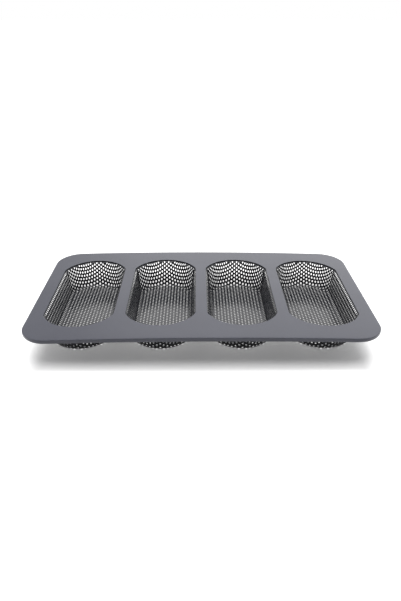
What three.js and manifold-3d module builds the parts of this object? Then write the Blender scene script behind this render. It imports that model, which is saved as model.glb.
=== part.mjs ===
// A pan that bakes four hot dog buns. One steel plate has four punched openings, and its outer
// edge is rolled around a wire. A perforated mould hangs in each opening, welded by its flange to
// the underside of the plate.
// Millimetres, +Z up, +X along the row of moulds, origin on the table under the pan's middle.

import * as THREE from 'three';
import { mergeGeometries, mergeVertices } from 'three/addons/utils/BufferGeometryUtils.js';
import Module from 'manifold-3d';

// The row of openings in the plate
const MOULD_COUNT = 4;
const OPENING_WIDTH = 77.5;
const OPENING_LENGTH = 170;
const OPENING_CORNER = 15;
const OPENING_END_RISE = 30;
const WEB_WIDTH = 12.5;

// The plate around them
const PAN_HEIGHT = 34;
const SIDE_MARGIN = 16.25;
const END_MARGIN = 26;
const PLATE_CORNER = 30;
const PLATE_SHEET = 0.7;

// The rolled rim and its wire
const WIRE_DIAMETER = 3.5;
const RIM_CURL = THREE.MathUtils.degToRad(270);

// The moulds
const MOULD_SHEET = 0.4;
const FLANGE_SPACING = 1.2;
const FLANGE_BEND = 3;
const BEND_COVER = 0.4;
const WALL_DRAFT = THREE.MathUtils.degToRad(7);
const BASE_FILLET = 3.5;

// The perforation, with its true open share in fewer and larger holes than the real sheet has.
// The press draws the wall up, and the holes in it with it.
const HOLE_DIAMETER = 10.2;
const HOLE_SPACING = 15.5;
const HOLE_MARGIN = 1.5;
const WALL_HOLE_STRETCH = 1.45;

// Clearance between pieces that seat on each other
const FIT = 0.3;

// How finely round stretches are faceted
const PLATE_CORNER_STEPS = 5;
const OPENING_CORNER_STEPS = 1;
const OPENING_END_STEPS = 8;
const BEND_STEPS = 3;
const CURL_STEPS = 9;
const WIRE_SIDES = 8;
const HOLE_SIDES = 6;

const openingPitch = OPENING_WIDTH + WEB_WIDTH;
const panLength = MOULD_COUNT * openingPitch - WEB_WIDTH + 2 * SIDE_MARGIN;
const panWidth = OPENING_LENGTH + 2 * END_MARGIN;
const beadRadius = WIRE_DIAMETER / 2 + FIT + PLATE_SHEET;
const mouldCentres = Array.from(
  { length: MOULD_COUNT },
  (_, i) => (i - (MOULD_COUNT - 1) / 2) * openingPitch,
);

// An outline is a list of stations on arcs. Every station can step outwards along its own radius,
// so one list gives all the parallel outlines that a bent sheet needs.
function arcStations(cx, cy, radius, start, end, steps) {
  return Array.from({ length: steps + 1 }, (_, i) => ({
    cx,
    cy,
    radius,
    angle: start + (end - start) * i / steps,
  }));
}

function outlineAt(stations, outwards) {
  return stations.map(({ cx, cy, radius, angle }) => new THREE.Vector2(
    cx + (radius + outwards) * Math.cos(angle),
    cy + (radius + outwards) * Math.sin(angle),
  ));
}

function shifted(outline, x) {
  return outline.map((point) => new THREE.Vector2(point.x + x, point.y));
}

function plateStations() {
  const cornerX = panLength / 2 - PLATE_CORNER;
  const cornerY = panWidth / 2 - PLATE_CORNER;
  const quarter = Math.PI / 2;
  const corners = [[cornerX, cornerY], [-cornerX, cornerY], [-cornerX, -cornerY], [cornerX, -cornerY]];
  return corners.flatMap(([x, y], i) => (
    arcStations(x, y, PLATE_CORNER, i * quarter, (i + 1) * quarter, PLATE_CORNER_STEPS)
  ));
}

// Straight sides, a small corner arc, and one broad arc across each end that the corners run into
function openingStations() {
  const cornerX = OPENING_WIDTH / 2 - OPENING_CORNER;
  const cornerY = OPENING_LENGTH / 2 - OPENING_END_RISE;
  const endRadius = (cornerX ** 2 + OPENING_END_RISE ** 2 - OPENING_CORNER ** 2)
    / (2 * (OPENING_END_RISE - OPENING_CORNER));
  const endY = OPENING_LENGTH / 2 - endRadius;
  const turn = Math.atan2(cornerY - endY, cornerX);
  const half = [
    ...arcStations(cornerX, cornerY, OPENING_CORNER, 0, turn, OPENING_CORNER_STEPS).slice(0, -1),
    ...arcStations(0, endY, endRadius, turn, Math.PI - turn, OPENING_END_STEPS).slice(0, -1),
    ...arcStations(-cornerX, cornerY, OPENING_CORNER, Math.PI - turn, Math.PI, OPENING_CORNER_STEPS),
  ];
  const otherHalf = half.map(({ cx, cy, radius, angle }) => (
    { cx: -cx, cy: -cy, radius, angle: angle + Math.PI }
  ));
  return [...half, ...otherHalf];
}

// A profile is a list of points in the plane of "outwards" (x) and height (y).
function arcProfile(cx, cy, radius, start, end, steps) {
  return arcStations(cx, cy, radius, start, end, steps).map(({ angle }) => new THREE.Vector2(
    cx + radius * Math.cos(angle),
    cy + radius * Math.sin(angle),
  ));
}

function surface(positions, index) {
  const geometry = new THREE.BufferGeometry();
  geometry.setAttribute('position', new THREE.Float32BufferAttribute(positions, 3));
  geometry.setIndex(index);
  return geometry;
}

// The skin that a profile sweeps along an outline. It faces the left of the profile's direction.
function sweep(stations, profile, closed = false) {
  const count = stations.length;
  const positions = profile.flatMap(({ x, y }) => (
    outlineAt(stations, x).flatMap((point) => [point.x, point.y, y])
  ));
  const index = [];
  const bands = closed ? profile.length : profile.length - 1;
  for (let band = 0; band < bands; band += 1) {
    const here = band * count;
    const next = ((band + 1) % profile.length) * count;
    for (let i = 0; i < count; i += 1) {
      const j = (i + 1) % count;
      index.push(here + i, next + i, next + j, here + i, next + j, here + j);
    }
  }
  return surface(positions, index);
}

// A flat face at one height, with openings in it, seen from above or from below
function flatFace(outline, openings, height, facesUp) {
  const shape = new THREE.Shape(outline);
  shape.holes = openings.map((opening) => new THREE.Path(opening));
  const face = new THREE.ShapeGeometry(shape).translate(0, 0, height);
  const index = Array.from(face.index.array);
  return surface(face.attributes.position.array, facesUp ? index : index.reverse());
}

function closedBody(skins) {
  return mergeVertices(mergeGeometries(skins), FIT / 100);
}

// The plate: its flat web, the cut edge of each opening, and the rim rolled under all round
function framePlateGeometry() {
  const underside = PAN_HEIGHT - PLATE_SHEET;
  const outerStations = plateStations();
  const rollCentre = PAN_HEIGHT - beadRadius;
  const top = Math.PI / 2;
  const rollEnd = top - RIM_CURL;
  const rim = sweep(outerStations, [
    ...arcProfile(-beadRadius, rollCentre, beadRadius, top, rollEnd, CURL_STEPS),
    ...arcProfile(-beadRadius, rollCentre, beadRadius - PLATE_SHEET, rollEnd, top, CURL_STEPS),
  ]);

  const stations = openingStations();
  const cutEdge = [new THREE.Vector2(0, underside), new THREE.Vector2(0, PAN_HEIGHT)];
  const cutEdges = mouldCentres.map((x) => sweep(stations, cutEdge).translate(x, 0, 0));

  const webOutline = outlineAt(outerStations, -beadRadius);
  const webOpenings = mouldCentres.map((x) => shifted(outlineAt(stations, 0), x));
  return closedBody([
    rim,
    ...cutEdges,
    flatFace(webOutline, webOpenings, PAN_HEIGHT, true),
    flatFace(webOutline, webOpenings, underside, false),
  ]);
}

// The wire runs through the middle of the rolled rim, all the way round.
function rimWireGeometry() {
  const section = arcProfile(
    -beadRadius,
    PAN_HEIGHT - beadRadius,
    WIRE_DIAMETER / 2,
    0,
    -2 * Math.PI,
    WIRE_SIDES,
  ).slice(0, -1);
  return closedBody([sweep(plateStations(), section, true)]);
}

// Where one mould's sheet bends: from the flange under the plate down into the wall, which starts
// at the neck, and from the wall's foot inwards to the flat base
function mouldSection() {
  const flangeTop = PAN_HEIGHT - PLATE_SHEET - FIT;
  const bendCentre = new THREE.Vector2(BEND_COVER, flangeTop - FLANGE_BEND);
  const neck = new THREE.Vector2(
    bendCentre.x - FLANGE_BEND * Math.cos(WALL_DRAFT),
    bendCentre.y + FLANGE_BEND * Math.sin(WALL_DRAFT),
  );
  const wallFoot = neck.x - (neck.y - MOULD_SHEET) * Math.tan(WALL_DRAFT);
  const filletRun = BASE_FILLET * Math.tan((Math.PI / 2 - WALL_DRAFT) / 2);
  const filletCentre = new THREE.Vector2(wallFoot - filletRun, MOULD_SHEET + BASE_FILLET);
  return { flangeTop, flangeEdge: (WEB_WIDTH - FLANGE_SPACING) / 2, bendCentre, neck, filletCentre };
}

// The pressed trough before its holes: inside face, flange edge, outside face and both sides of
// the base
function troughGeometry(stations) {
  const { flangeTop, flangeEdge, bendCentre, filletCentre } = mouldSection();
  const down = -Math.PI / 2;
  const top = Math.PI / 2;
  const wallSide = Math.PI - WALL_DRAFT;
  const outerBend = FLANGE_BEND - MOULD_SHEET;
  const profile = [
    ...arcProfile(filletCentre.x, filletCentre.y, BASE_FILLET, down, -WALL_DRAFT, BEND_STEPS),
    ...arcProfile(bendCentre.x, bendCentre.y, FLANGE_BEND, wallSide, top, BEND_STEPS),
    new THREE.Vector2(flangeEdge, flangeTop),
    new THREE.Vector2(flangeEdge, flangeTop - MOULD_SHEET),
    ...arcProfile(bendCentre.x, bendCentre.y, outerBend, top, wallSide, BEND_STEPS),
    ...arcProfile(
      filletCentre.x,
      filletCentre.y,
      BASE_FILLET + MOULD_SHEET,
      -WALL_DRAFT,
      down,
      BEND_STEPS,
    ),
  ];
  const base = outlineAt(stations, filletCentre.x);
  return closedBody([
    sweep(stations, profile),
    flatFace(base, [], MOULD_SHEET, true),
    flatFace(base, [], 0, false),
  ]);
}

function holePunch(centre, direction, stretch) {
  const punch = new THREE.CylinderGeometry(
    HOLE_DIAMETER / 2,
    HOLE_DIAMETER / 2,
    MOULD_SHEET * 6,
    HOLE_SIDES,
  ).scale(1, 1, stretch);
  const turn = new THREE.Quaternion().setFromUnitVectors(new THREE.Vector3(0, 1, 0), direction);
  return punch.applyQuaternion(turn).translate(centre.x, centre.y, centre.z);
}

// Staggered columns of holes along the base, the same to both sides of its middle line and clear of
// its edge
function basePunches(stations) {
  const edge = outlineAt(stations, mouldSection().filletCentre.x);
  const clear = HOLE_DIAMETER / 2 + HOLE_MARGIN;
  const columnSpacing = HOLE_SPACING * Math.sin(Math.PI / 3);
  const columns = Math.floor((OPENING_WIDTH / 2) / columnSpacing);
  const rows = Math.floor((OPENING_LENGTH / 2) / HOLE_SPACING);
  const punches = [];
  for (let column = -columns; column < columns; column += 1) {
    const offCentre = column + 0.5;
    const stagger = Math.floor(Math.abs(offCentre)) % 2 === 0 ? 0 : 0.5;
    for (let row = -rows - 1; row <= rows; row += 1) {
      const centre = new THREE.Vector2(offCentre * columnSpacing, (row + stagger) * HOLE_SPACING);
      const inside = edge.every((from, i) => {
        const along = edge[(i + 1) % edge.length].clone().sub(from).normalize();
        return along.cross(centre.clone().sub(from)) > clear;
      });
      if (inside) {
        const middle = new THREE.Vector3(centre.x, centre.y, MOULD_SHEET / 2);
        punches.push(holePunch(middle, new THREE.Vector3(0, 0, 1), 1));
      }
    }
  }
  return punches;
}

// Staggered columns of holes up every facet of the wall that is wide enough for one, with the
// rows centred between the neck and the base
function wallPunches(stations) {
  const { neck, filletCentre } = mouldSection();
  const filletTop = filletCentre.y - BASE_FILLET * Math.sin(WALL_DRAFT);
  const clear = HOLE_DIAMETER * WALL_HOLE_STRETCH / 2 + HOLE_MARGIN;
  const columnSpacing = HOLE_SPACING * Math.sin(Math.PI / 3);
  const wallLength = (neck.y - filletTop) / Math.cos(WALL_DRAFT);
  const rowStep = HOLE_SPACING / 2;
  const lastRow = Math.floor((wallLength - 2 * clear) / rowStep);
  const firstUp = (wallLength - lastRow * rowStep) / 2;
  const punches = [];
  let column = 0;
  stations.forEach((_, i) => {
    const wallPoint = (up) => {
      const drop = wallLength - up;
      const outwards = neck.x - drop * Math.sin(WALL_DRAFT) + MOULD_SHEET / 2 * Math.cos(WALL_DRAFT);
      const outline = outlineAt(stations, outwards);
      return {
        from: outline[i],
        to: outline[(i + 1) % outline.length],
        height: neck.y - drop * Math.cos(WALL_DRAFT) - MOULD_SHEET / 2 * Math.sin(WALL_DRAFT),
      };
    };
    const foot = wallPoint(0);
    const facetWidth = foot.from.distanceTo(foot.to);
    const columns = Math.round(facetWidth / columnSpacing);
    for (let k = 0; k < columns; k += 1) {
      const firstRow = column % 2;
      column += 1;
      for (let row = firstRow; row <= lastRow; row += 2) {
        const { from, to, height } = wallPoint(firstUp + row * rowStep);
        const place = from.clone().lerp(to, (k + 0.5) / columns);
        const along = to.clone().sub(from).normalize();
        const outwards = new THREE.Vector3(
          along.y * Math.cos(WALL_DRAFT),
          -along.x * Math.cos(WALL_DRAFT),
          -Math.sin(WALL_DRAFT),
        );
        const centre = new THREE.Vector3(place.x, place.y, height);
        punches.push(holePunch(centre, outwards, WALL_HOLE_STRETCH));
      }
    }
  });
  return punches;
}

const wasm = await Module();
wasm.setup();

function toSolid(geometry) {
  const bare = geometry.clone();
  bare.deleteAttribute('normal');
  bare.deleteAttribute('uv');
  const welded = mergeVertices(bare, FIT / 100);
  return new wasm.Manifold(new wasm.Mesh({
    numProp: 3,
    vertProperties: Float32Array.from(welded.attributes.position.array),
    triVerts: Uint32Array.from(welded.index.array),
  }));
}

function toGeometry(solid) {
  const { vertProperties, triVerts } = solid.getMesh();
  return surface(vertProperties, Array.from(triVerts));
}

function bunMouldGeometry() {
  const stations = openingStations();
  const trough = toSolid(troughGeometry(stations));
  const punches = toSolid(mergeGeometries([...basePunches(stations), ...wallPunches(stations)]));
  return toGeometry(trough.subtract(punches));
}

const pan = new THREE.Group();

function addPiece(name, geometry, color, roughness, metalness) {
  geometry.computeVertexNormals();
  const piece = new THREE.Mesh(
    geometry,
    new THREE.MeshStandardMaterial({ color, roughness, metalness, flatShading: true }),
  );
  piece.name = name;
  pan.add(piece);
  return piece;
}

addPiece('frame_plate', framePlateGeometry(), 0x808187, 0.5, 0.4);
addPiece('rim_wire', rimWireGeometry(), 0x9a9b9d, 0.35, 1);
const mouldGeometry = bunMouldGeometry();
mouldCentres.forEach((x, i) => {
  addPiece(`bun_mould_${i + 1}`, mouldGeometry, 0x3c3d41, 0.5, 0.4).position.x = x;
});

export default pan;
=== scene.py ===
# A hot dog bun pan on a white studio table: a steel plate with a rolled rim, and four perforated
# moulds hung in its openings. Metres, +Z up, +X along the row of moulds, table at height 0.

import math

import bmesh
import bpy
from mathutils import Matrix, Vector


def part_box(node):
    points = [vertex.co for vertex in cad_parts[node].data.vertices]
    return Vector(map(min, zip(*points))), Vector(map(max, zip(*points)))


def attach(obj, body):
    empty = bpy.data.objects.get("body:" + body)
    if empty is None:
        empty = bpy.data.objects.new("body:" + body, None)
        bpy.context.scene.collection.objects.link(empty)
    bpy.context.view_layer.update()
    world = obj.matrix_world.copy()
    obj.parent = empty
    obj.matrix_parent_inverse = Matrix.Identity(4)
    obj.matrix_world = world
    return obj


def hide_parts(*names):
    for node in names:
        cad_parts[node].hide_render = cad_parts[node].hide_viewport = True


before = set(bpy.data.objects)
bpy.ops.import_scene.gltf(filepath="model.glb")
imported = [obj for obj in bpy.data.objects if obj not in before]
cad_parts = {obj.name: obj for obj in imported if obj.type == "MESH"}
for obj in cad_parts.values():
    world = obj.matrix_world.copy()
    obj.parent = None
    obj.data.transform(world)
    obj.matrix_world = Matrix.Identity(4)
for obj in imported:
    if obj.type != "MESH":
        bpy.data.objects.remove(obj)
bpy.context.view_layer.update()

# Frame plate: one sheet of coated steel. Four openings are punched in it, the outer edge is
# rolled under around a wire, and the sheet has sprung to a slight bow along the row and a twist.
MM = 0.001
WELD = MM / 100
MIRROR_WELD = MM / 1000
PLATE_SHEET = 0.7 * MM
PLATE_CORNER = 30 * MM
OPENING_WIDTH = 77.5 * MM
OPENING_LENGTH = 170 * MM
OPENING_CORNER = 15 * MM
OPENING_END_RISE = 30 * MM
RIM_LAND = 1 * MM
RIM_BEND = 0.5 * MM
RIM_BEND_STEPS = 6
RIM_CURL = math.radians(270)
RIM_CURL_STEPS = 12
BOW_UP = 0.9 * MM
BOW_DOWN = 2.3 * MM
TWIST = 0.6 * MM
BOW_STEP = 10 * MM
SHARP = math.radians(40)
COAT_IOR = 1.4
CLOUD_SIZE = 40 * MM
GRIT_SIZE = 0.4 * MM
GRIT_DEPTH = 0.05 * MM
plate_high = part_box("frame_plate")[1]
wire_low, wire_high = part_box("rim_wire")
wire_radius = (wire_high.z - wire_low.z) / 2
bead_radius = plate_high.z - wire_high.z + wire_radius
bead_height = plate_high.z - bead_radius
mould_places = [sum(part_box(f"bun_mould_{number}"), Vector()).x / 2 for number in range(1, 5)]

# Each outline is given by the arcs of its first quarter: centre, radius, turn and steps.
corner_x = OPENING_WIDTH / 2 - OPENING_CORNER
corner_y = OPENING_LENGTH / 2 - OPENING_END_RISE
end_radius = (corner_x ** 2 + OPENING_END_RISE ** 2 - OPENING_CORNER ** 2) / (
    2 * (OPENING_END_RISE - OPENING_CORNER))
end_y = OPENING_LENGTH / 2 - end_radius
corner_turn = math.atan2(corner_y - end_y, corner_x)
opening_arcs = [
    (corner_x, corner_y, OPENING_CORNER, corner_turn, 6),
    (0, end_y, end_radius, math.pi / 2 - corner_turn, 18),
]
plate_arcs = [
    (plate_high.x - PLATE_CORNER, plate_high.y - PLATE_CORNER, PLATE_CORNER, math.pi / 2, 16),
]


def everything(mesh):
    return mesh.verts[:] + mesh.edges[:] + mesh.faces[:]


def edges_of(verts):
    return list(dict.fromkeys(edge for vert in verts for edge in vert.link_edges))


def draw_ring(mesh, arcs, outwards, height, middle=0):
    """Draws one closed outline, stepped outwards from its arcs, and gives back its edges."""
    before = set(mesh.verts)
    centre_x, centre_y, radius, _, _ = arcs[0]
    side = mesh.verts.new((centre_x + radius + outwards, 0, height))
    end = bmesh.ops.extrude_vert_indiv(mesh, verts=[side])["verts"][0]
    end.co.y = centre_y
    for centre_x, centre_y, _, turn, steps in arcs:
        arc = bmesh.ops.spin(
            mesh, geom=[end], cent=(centre_x, centre_y, height), axis=(0, 0, 1), angle=turn, steps=steps)
        end = next(part for part in arc["geom_last"] if isinstance(part, bmesh.types.BMVert))
    if end.co.x > MM:
        end = bmesh.ops.extrude_vert_indiv(mesh, verts=[end])["verts"][0]
    end.co.x = 0
    for axis in "XY":
        drawn = [vert for vert in mesh.verts if vert not in before]
        bmesh.ops.mirror(mesh, geom=drawn + edges_of(drawn), axis=axis, merge_dist=MIRROR_WELD)
    ring = [vert for vert in mesh.verts if vert not in before]
    bmesh.ops.translate(mesh, verts=ring, vec=(middle, 0, 0))
    return edges_of(ring)


def draw_skin(mesh, arcs, profile):
    """Sweeps a profile of (outwards, height) points along an outline. Gives back its first ring."""
    rings = [draw_ring(mesh, arcs, outwards, height) for outwards, height in profile]
    for ring, following in zip(rings, rings[1:]):
        bmesh.ops.bridge_loops(mesh, edges=ring + following)
    return rings[0]


def arc_profile(outwards, height, radius, start, end, steps):
    angles = [start + (end - start) * step / steps for step in range(steps + 1)]
    return [(outwards + radius * math.cos(a), height + radius * math.sin(a)) for a in angles]


def slice_along(mesh):
    """Cuts a mesh across at even steps along the row, so that it can follow the bow."""
    count = math.floor(plate_high.x / BOW_STEP)
    for step in range(-count, count + 1):
        bmesh.ops.bisect_plane(
            mesh, geom=everything(mesh), plane_co=(step * BOW_STEP, 0, 0), plane_no=(1, 0, 0))


def bow(mesh):
    """Lifts the pan's middle, lets its ends down and twists it. The feet stay on the table."""
    for vert in mesh.verts:
        along = vert.co.x / plate_high.x
        across = vert.co.y / plate_high.y
        lift = BOW_UP - (BOW_UP + BOW_DOWN) * along ** 2 - TWIST * along * across
        vert.co.z += lift * vert.co.z / plate_high.z


def thicken(mesh, thickness):
    """Turns a skin to face upwards, and gives it its thickness underneath."""
    bmesh.ops.remove_doubles(mesh, verts=mesh.verts, dist=WELD)
    bmesh.ops.recalc_face_normals(mesh, faces=mesh.faces)
    flattest = max(mesh.faces, key=lambda face: abs(face.normal.z) * face.calc_area())
    if flattest.normal.z < 0:
        bmesh.ops.reverse_faces(mesh, faces=mesh.faces)
    bmesh.ops.solidify(mesh, geom=mesh.faces, thickness=thickness)


def make_piece(name, mesh, material, node):
    """Turns a finished mesh into a smooth-shaded object that stands for one node of the frame."""
    for face in mesh.faces:
        face.smooth = True
    for edge in mesh.edges:
        edge.smooth = edge.calc_face_angle(math.pi) < SHARP
    data = bpy.data.meshes.new(name)
    mesh.to_mesh(data)
    mesh.free()
    data.materials.append(material)
    piece = bpy.data.objects.new(name, data)
    bpy.context.scene.collection.objects.link(piece)
    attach(piece, "root")
    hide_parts(node)


def linear(hex_colour):
    """An sRGB colour such as "808080" as linear red, green, blue and alpha."""
    parts = [int(hex_colour[i:i + 2], 16) / 255 for i in (0, 2, 4)]
    return (*[p / 12.92 if p <= 0.04045 else ((p + 0.055) / 1.055) ** 2.4 for p in parts], 1)


def add_node(tree, kind, values=None, links=None, **settings):
    """Adds one shader node with its settings, input values and incoming links."""
    node = tree.nodes.new(kind)
    for name, value in settings.items():
        setattr(node, name, value)
    for name, value in (values or {}).items():
        node.inputs[name].default_value = value
    for name, output in (links or {}).items():
        tree.links.new(output, node.inputs[name])
    return node


def new_tree(owner):
    owner.use_nodes = True
    owner.node_tree.nodes.clear()
    return owner.node_tree


def coated_steel(name, dark, light, roughness):
    """Satin non-stick coating: faint clouds where the spray lay thicker, and fine sprayed grit.

    The real grit is finer. It is drawn as coarse as it needs to show.
    """
    material = bpy.data.materials.new(name)
    tree = new_tree(material)
    place = add_node(tree, "ShaderNodeTexCoord")
    clouds = add_node(
        tree, "ShaderNodeTexNoise", {"Scale": 1 / CLOUD_SIZE, "Detail": 3},
        {"Vector": place.outputs["Object"]})
    tint = add_node(
        tree, "ShaderNodeMix", {"A": linear(dark), "B": linear(light)},
        {"Factor": clouds.outputs["Fac"]}, data_type="RGBA")
    grit = add_node(
        tree, "ShaderNodeTexNoise", {"Scale": 1 / GRIT_SIZE, "Detail": 2},
        {"Vector": place.outputs["Object"]})
    bump = add_node(
        tree, "ShaderNodeBump", {"Strength": 0.15, "Distance": GRIT_DEPTH},
        {"Height": grit.outputs["Fac"]})
    coat = add_node(
        tree, "ShaderNodeBsdfPrincipled", {"Roughness": roughness, "IOR": COAT_IOR},
        {"Base Color": tint.outputs["Result"], "Normal": bump.outputs["Normal"]})
    add_node(tree, "ShaderNodeOutputMaterial", links={"Surface": coat.outputs["BSDF"]})
    return material


plate = bmesh.new()
roll = [(-bead_radius - RIM_LAND, plate_high.z)]
roll += arc_profile(-RIM_BEND, plate_high.z - RIM_BEND, RIM_BEND, math.pi / 2, 0, RIM_BEND_STEPS)
roll += arc_profile(-bead_radius, bead_height, bead_radius, 0, math.pi / 2 - RIM_CURL, RIM_CURL_STEPS)
web_rings = draw_skin(plate, plate_arcs, roll)
for x in mould_places:
    web_rings += draw_ring(plate, opening_arcs, 0, plate_high.z, x)
bmesh.ops.triangle_fill(plate, use_beauty=True, edges=web_rings, normal=(0, 0, 1))
slice_along(plate)
thicken(plate, PLATE_SHEET)
bow(plate)
plate_coating = coated_steel("plate non-stick coating", "474853", "50525D", 0.3)
make_piece("plate_sheet", plate, plate_coating, "frame_plate")

# Rim wire: one loop of drawn steel wire, butted end to end. It stiffens the edge of the plate, and
# the roll around it holds it.
WIRE_SIDES = 12
SOAP_PATCH = 6 * MM
wire = bmesh.new()
wire_section = arc_profile(-bead_radius, bead_height, wire_radius, 0, 2 * math.pi, WIRE_SIDES)
draw_skin(wire, plate_arcs, wire_section)
slice_along(wire)
bmesh.ops.remove_doubles(wire, verts=wire.verts, dist=WELD)
bmesh.ops.recalc_face_normals(wire, faces=wire.faces)
bow(wire)

# Drawing leaves the steel bright, and duller in patches where the drawing soap stayed on it.
wire_steel = bpy.data.materials.new("drawn steel")
wire_tree = new_tree(wire_steel)
wire_place = add_node(wire_tree, "ShaderNodeTexCoord")
wire_soap = add_node(
    wire_tree, "ShaderNodeTexNoise", {"Scale": 1 / SOAP_PATCH, "Detail": 3},
    {"Vector": wire_place.outputs["Object"]})
wire_tint = add_node(
    wire_tree, "ShaderNodeMix", {"A": linear("B6B7B9"), "B": linear("9A9B9D")},
    {"Factor": wire_soap.outputs["Fac"]}, data_type="RGBA")
wire_dullness = add_node(
    wire_tree, "ShaderNodeMapRange", {"To Min": 0.2, "To Max": 0.5},
    {"Value": wire_soap.outputs["Fac"]})
wire_surface = add_node(
    wire_tree, "ShaderNodeBsdfPrincipled", {"Metallic": 1},
    {"Base Color": wire_tint.outputs["Result"], "Roughness": wire_dullness.outputs["Result"]})
add_node(wire_tree, "ShaderNodeOutputMaterial", links={"Surface": wire_surface.outputs["BSDF"]})
make_piece("rim_wire_loop", wire, wire_steel, "rim_wire")

# Bun moulds: sheet steel with round holes in staggered columns. A flat blank is pressed to a
# trough, which stretches the columns and bends them round the ends. Its flange lies under the plate.
MOULD_SHEET = 0.4 * MM
FLANGE_GAP = 0.6 * MM
FLANGE_BEND = 3 * MM
BEND_COVER = 0.4 * MM
WALL_DRAFT = math.radians(7)
BASE_FILLET = 3.5 * MM
CURVE_STEPS = 8
HOLE_DIAMETER = 2.25 * MM
HOLE_PITCH = 3.95 * MM
COLUMN_STEP = 3.9 * MM
HOLE_SIDES = 12
PUNCHED_BEND_STEPS = 3
DRAW_STRETCH = 1.34

# The inside face of the trough as (outwards, height) points, from the flat base to the flange
flange_top = plate_high.z - PLATE_SHEET - FLANGE_GAP
flange_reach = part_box("bun_mould_1")[1].x - mould_places[0] - OPENING_WIDTH / 2
bend = arc_profile(
    BEND_COVER, flange_top - FLANGE_BEND, FLANGE_BEND, math.pi - WALL_DRAFT, math.pi / 2, CURVE_STEPS)
wall_foot = bend[0][0] - (bend[0][1] - MOULD_SHEET) * math.tan(WALL_DRAFT)
base_edge = wall_foot - BASE_FILLET * math.tan((math.pi / 2 - WALL_DRAFT) / 2)
fillet = arc_profile(
    base_edge, MOULD_SHEET + BASE_FILLET, BASE_FILLET, -math.pi / 2, -WALL_DRAFT, CURVE_STEPS)
trough = fillet + bend + [(flange_reach, flange_top)]
trough_runs = [0]
for here, there in zip(trough, trough[1:]):
    trough_runs.append(trough_runs[-1] + math.dist(here, there))
blank_reach = trough_runs[-1] / DRAW_STRETCH
punched_reach = trough_runs[len(fillet) + PUNCHED_BEND_STEPS] / DRAW_STRETCH


def nearest_arc(x, y):
    """The centre and radius of the outline's arc beside a point, and the way from there to it."""
    if y > end_y and math.atan2(y - end_y, x) > corner_turn:
        centre_x, centre_y, radius = opening_arcs[1][:3]
    else:
        centre_x, centre_y, radius = opening_arcs[0][:3]
        centre_y = min(centre_y, y)
    away = Vector((x - centre_x, y - centre_y, 0))
    return Vector((centre_x, centre_y, 0)), radius, away


def past_base(point):
    """How far a point of the flat blank lies outside the edge of the base."""
    _, radius, away = nearest_arc(abs(point.x), point.y)
    return away.length - radius - base_edge if away.x >= 0 else 0


def press(vert):
    """Moves a point of the flat blank to where the press leaves it."""
    vert.co.z = MOULD_SHEET
    centre, radius, away = nearest_arc(vert.co.x, vert.co.y)
    run = past_base(vert.co) * DRAW_STRETCH
    if run <= 0:
        return
    last = next((i for i, reached in enumerate(trough_runs) if reached >= run), len(trough) - 1)
    share = (run - trough_runs[last - 1]) / (trough_runs[last] - trough_runs[last - 1])
    outwards, height = Vector(trough[last - 1]).lerp(Vector(trough[last]), min(share, 1))
    vert.co = centre + away.normalized() * (radius + outwards)
    vert.co.z = height


# One tile of sheet around one hole, repeated into a quarter of the blank
blank = bmesh.new()
bmesh.ops.create_grid(blank, x_segments=2, y_segments=4, size=0.5)
bmesh.ops.scale(blank, verts=blank.verts, vec=(COLUMN_STEP, HOLE_PITCH, 1))
bmesh.ops.delete(blank, geom=[vert for vert in blank.verts if not vert.is_boundary], context="VERTS")
bmesh.ops.create_circle(blank, segments=HOLE_SIDES, radius=HOLE_DIAMETER / 2)
bmesh.ops.bridge_loops(blank, edges=blank.edges)
rows = math.ceil((OPENING_LENGTH / 2 + base_edge + blank_reach) / HOLE_PITCH) + 1
columns = math.ceil((OPENING_WIDTH / 2 + base_edge + blank_reach) / COLUMN_STEP) + 1
bmesh.ops.spin(
    blank, geom=everything(blank), dvec=(0, HOLE_PITCH, 0), axis=(0, 0, 1), angle=0, steps=rows,
    use_duplicate=True)
staggered = bmesh.ops.duplicate(blank, geom=everything(blank))["geom"]
bmesh.ops.translate(
    blank, verts=[part for part in staggered if isinstance(part, bmesh.types.BMVert)],
    vec=(COLUMN_STEP, -HOLE_PITCH / 2, 0))
bmesh.ops.spin(
    blank, geom=everything(blank), dvec=(2 * COLUMN_STEP, 0, 0), axis=(0, 0, 1), angle=0,
    steps=math.ceil(columns / 2), use_duplicate=True)
bmesh.ops.remove_doubles(blank, verts=blank.verts, dist=WELD)

# The sheet is plain where it bends out to the flange.
unpunched = [
    edge for edge in blank.edges
    if edge.is_boundary and past_base((edge.verts[0].co + edge.verts[1].co) / 2) > punched_reach]
bmesh.ops.poke(blank, faces=bmesh.ops.holes_fill(blank, edges=unpunched)["faces"])

# The quarter is cut along its two middle lines and to the blank's outline, pressed and mirrored.
cuts = [((0, 0, 0), (-1, 0, 0)), ((0, 0, 0), (0, -1, 0))]
angle = 0
for centre_x, centre_y, radius, turn, steps in opening_arcs:
    for step in range(steps + 1):
        cut_angle = angle + turn * step / steps
        way = Vector((math.cos(cut_angle), math.sin(cut_angle), 0))
        cuts.append((Vector((centre_x, centre_y, 0)) + way * (radius + base_edge + blank_reach), way))
    angle += turn
for point, way in cuts:
    bmesh.ops.bisect_plane(
        blank, geom=everything(blank), plane_co=point, plane_no=way, clear_outer=True)
for vert in blank.verts:
    press(vert)
for axis in "XY":
    bmesh.ops.mirror(blank, geom=everything(blank), axis=axis, merge_dist=MIRROR_WELD)
thicken(blank, MOULD_SHEET)

mould_coating = coated_steel("mould non-stick coating", "26272C", "2C2D33", 0.2)
for number, x in enumerate(mould_places, 1):
    mould = blank.copy()
    bmesh.ops.translate(mould, verts=mould.verts, vec=(x, 0, 0))
    bow(mould)
    make_piece(f"mould_sheet_{number}", mould, mould_coating, f"bun_mould_{number}")
blank.free()

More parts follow.
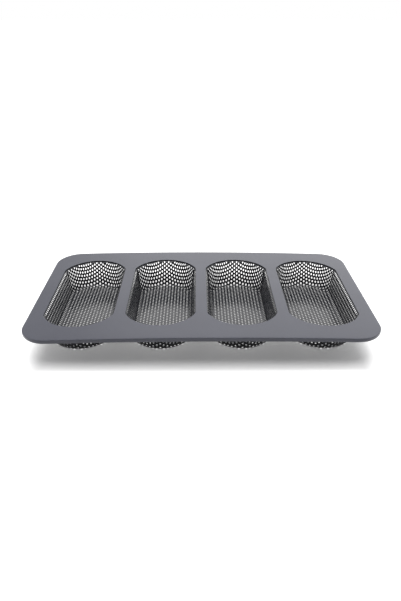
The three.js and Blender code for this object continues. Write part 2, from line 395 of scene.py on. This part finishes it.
# Table: a wide sheet of matt white paper. It glows for the camera and in reflections, which is painted
# light:
# it shows the paper white and, away from the pan, paints over the pan's shadow. Around the pan it glows
# less, where it keeps the shadow.
FLOOR_REACH = 20
FLOOR_GAP = 0.1 * MM
PAPER_GLOW = 0.8
SHADOW_GLOW = 0.2
SHADOW_WIDTH = 390 * MM
SHADOW_LENGTH = 214 * MM
SHADOW_MIDDLE = -22.5 * MM
SHADOW_CORE = 0.85
floor_mesh = bmesh.new()
bmesh.ops.create_grid(floor_mesh, x_segments=1, y_segments=1, size=FLOOR_REACH)
bmesh.ops.translate(floor_mesh, verts=floor_mesh.verts, vec=(0, 0, -FLOOR_GAP))
floor_data = bpy.data.meshes.new("table")
floor_mesh.to_mesh(floor_data)
floor_mesh.free()
paper = bpy.data.materials.new("white paper")
paper_tree = new_tree(paper)
paper_path = add_node(paper_tree, "ShaderNodeLightPath")
paper_mirrored = add_node(
    paper_tree, "ShaderNodeMath", operation="ADD",
    links={0: paper_path.outputs["Is Glossy Ray"], 1: paper_path.outputs["Is Transmission Ray"]})
paper_seen = add_node(
    paper_tree, "ShaderNodeMath", operation="ADD",
    links={0: paper_path.outputs["Is Camera Ray"], 1: paper_mirrored.outputs["Value"]})
paper_place = add_node(paper_tree, "ShaderNodeTexCoord")
paper_shadow = add_node(
    paper_tree, "ShaderNodeMapping",
    {"Location": (0, -2 * SHADOW_MIDDLE / SHADOW_LENGTH, 0),
     "Scale": (2 / SHADOW_WIDTH, 2 / SHADOW_LENGTH, 1)},
    {"Vector": paper_place.outputs["Object"]})
paper_away = add_node(
    paper_tree, "ShaderNodeVectorMath", operation="ABSOLUTE", links={0: paper_shadow.outputs["Vector"]})
paper_sides = add_node(
    paper_tree, "ShaderNodeSeparateXYZ", links={"Vector": paper_away.outputs["Vector"]})
paper_far = add_node(
    paper_tree, "ShaderNodeMath", operation="MAXIMUM",
    links={0: paper_sides.outputs["X"], 1: paper_sides.outputs["Y"]})
# Painted light: the paper's glow is weak inside the rectangle round the pan and strong outside it, where
# it whitens the pan's shadow.
paper_glow = add_node(
    paper_tree, "ShaderNodeMapRange",
    {"From Min": SHADOW_CORE, "To Min": SHADOW_GLOW, "To Max": PAPER_GLOW},
    {"Value": paper_far.outputs["Value"]}, interpolation_type="SMOOTHSTEP")
paper_lift = add_node(
    paper_tree, "ShaderNodeMath", operation="MULTIPLY",
    links={0: paper_seen.outputs["Value"], 1: paper_glow.outputs["Result"]})
paper_surface = add_node(
    paper_tree, "ShaderNodeBsdfPrincipled",
    {"Base Color": linear("E7E7E7"), "Roughness": 1, "Specular IOR Level": 0,
     "Emission Color": linear("FFFFFF")},
    {"Emission Strength": paper_lift.outputs["Value"]})
add_node(paper_tree, "ShaderNodeOutputMaterial", links={"Surface": paper_surface.outputs["BSDF"]})
floor_data.materials.append(paper)
floor = bpy.data.objects.new("table", floor_data)
bpy.context.scene.collection.objects.link(floor)

# Studio light: softboxes above, at both sides and behind. Each has its elevation, its turn from the
# back and its width in degrees, and then its share of the light on the table.
SOFTBOXES = [
    ("overhead softbox", 92, 0, 42, 0.5),
    ("left softbox", 45, -90, 40, 0.15),
    ("right softbox", 45, 90, 40, 0.15),
    ("back softbox", 30, 15, 50, 0.08),
]
for name, elevation, turn, width, share in SOFTBOXES:
    light_data = bpy.data.lights.new(name, "SUN")
    light_data.energy = share * math.pi / math.sin(math.radians(elevation))
    light_data.angle = math.radians(width)
    light = bpy.data.objects.new(name, light_data)
    light.rotation_euler = (math.radians(elevation - 90), 0, math.radians(-turn))
    bpy.context.scene.collection.objects.link(light)

# Backdrop: white to the camera on all sides. What the pan mirrors is white behind it and falls off
# towards the front, where the room is dark. Matt surfaces get only a little light from it.
ROOM_LEVEL = 0.1
ROOM_FROM = -0.5
WHITE_FROM = 0.4
MATT_LEVEL = 0.3
world = bpy.data.worlds.new("white backdrop")
bpy.context.scene.world = world
world_tree = new_tree(world)
world_place = add_node(world_tree, "ShaderNodeTexCoord")
world_way = add_node(
    world_tree, "ShaderNodeSeparateXYZ", links={"Vector": world_place.outputs["Generated"]})
world_white = add_node(
    world_tree, "ShaderNodeMapRange",
    {"From Min": ROOM_FROM, "From Max": WHITE_FROM, "To Min": ROOM_LEVEL, "To Max": 1},
    {"Value": world_way.outputs["Y"]}, interpolation_type="SMOOTHSTEP")
world_path = add_node(world_tree, "ShaderNodeLightPath")
world_matt = add_node(
    world_tree, "ShaderNodeMapRange", {"To Min": 1, "To Max": MATT_LEVEL},
    {"Value": world_path.outputs["Is Diffuse Ray"]})
world_level = add_node(
    world_tree, "ShaderNodeMath", operation="MULTIPLY",
    links={0: world_white.outputs["Result"], 1: world_matt.outputs["Result"]})
world_seen = add_node(
    world_tree, "ShaderNodeMath", operation="MAXIMUM",
    links={0: world_level.outputs["Value"], 1: world_path.outputs["Is Camera Ray"]})
backdrop = add_node(
    world_tree, "ShaderNodeBackground", {"Color": linear("FFFFFF")},
    {"Strength": world_seen.outputs["Value"]})
add_node(world_tree, "ShaderNodeOutputWorld", links={"Surface": backdrop.outputs["Background"]})
bpy.context.scene.view_settings.view_transform = "Standard"

# Camera: in front of the pan and above it, as the photograph was taken.
CAMERA_LENS = 32.75
CAMERA_SENSOR = 36
CAMERA_SIDE = -4 * MM
CAMERA_FRONT = -581.6 * MM
CAMERA_RISE = 293.1 * MM
CAMERA_PITCH = math.radians(28)
CAMERA_YAW = math.radians(0.33)
camera_data = bpy.data.cameras.new("camera")
camera_data.lens = CAMERA_LENS
camera_data.sensor_width = CAMERA_SENSOR
camera = bpy.data.objects.new("camera", camera_data)
camera.location = (CAMERA_SIDE, CAMERA_FRONT, plate_high.z + BOW_UP + CAMERA_RISE)
camera.rotation_euler = (math.pi / 2 - CAMERA_PITCH, 0, -CAMERA_YAW)
bpy.context.scene.collection.objects.link(camera)
bpy.context.scene.camera = camera
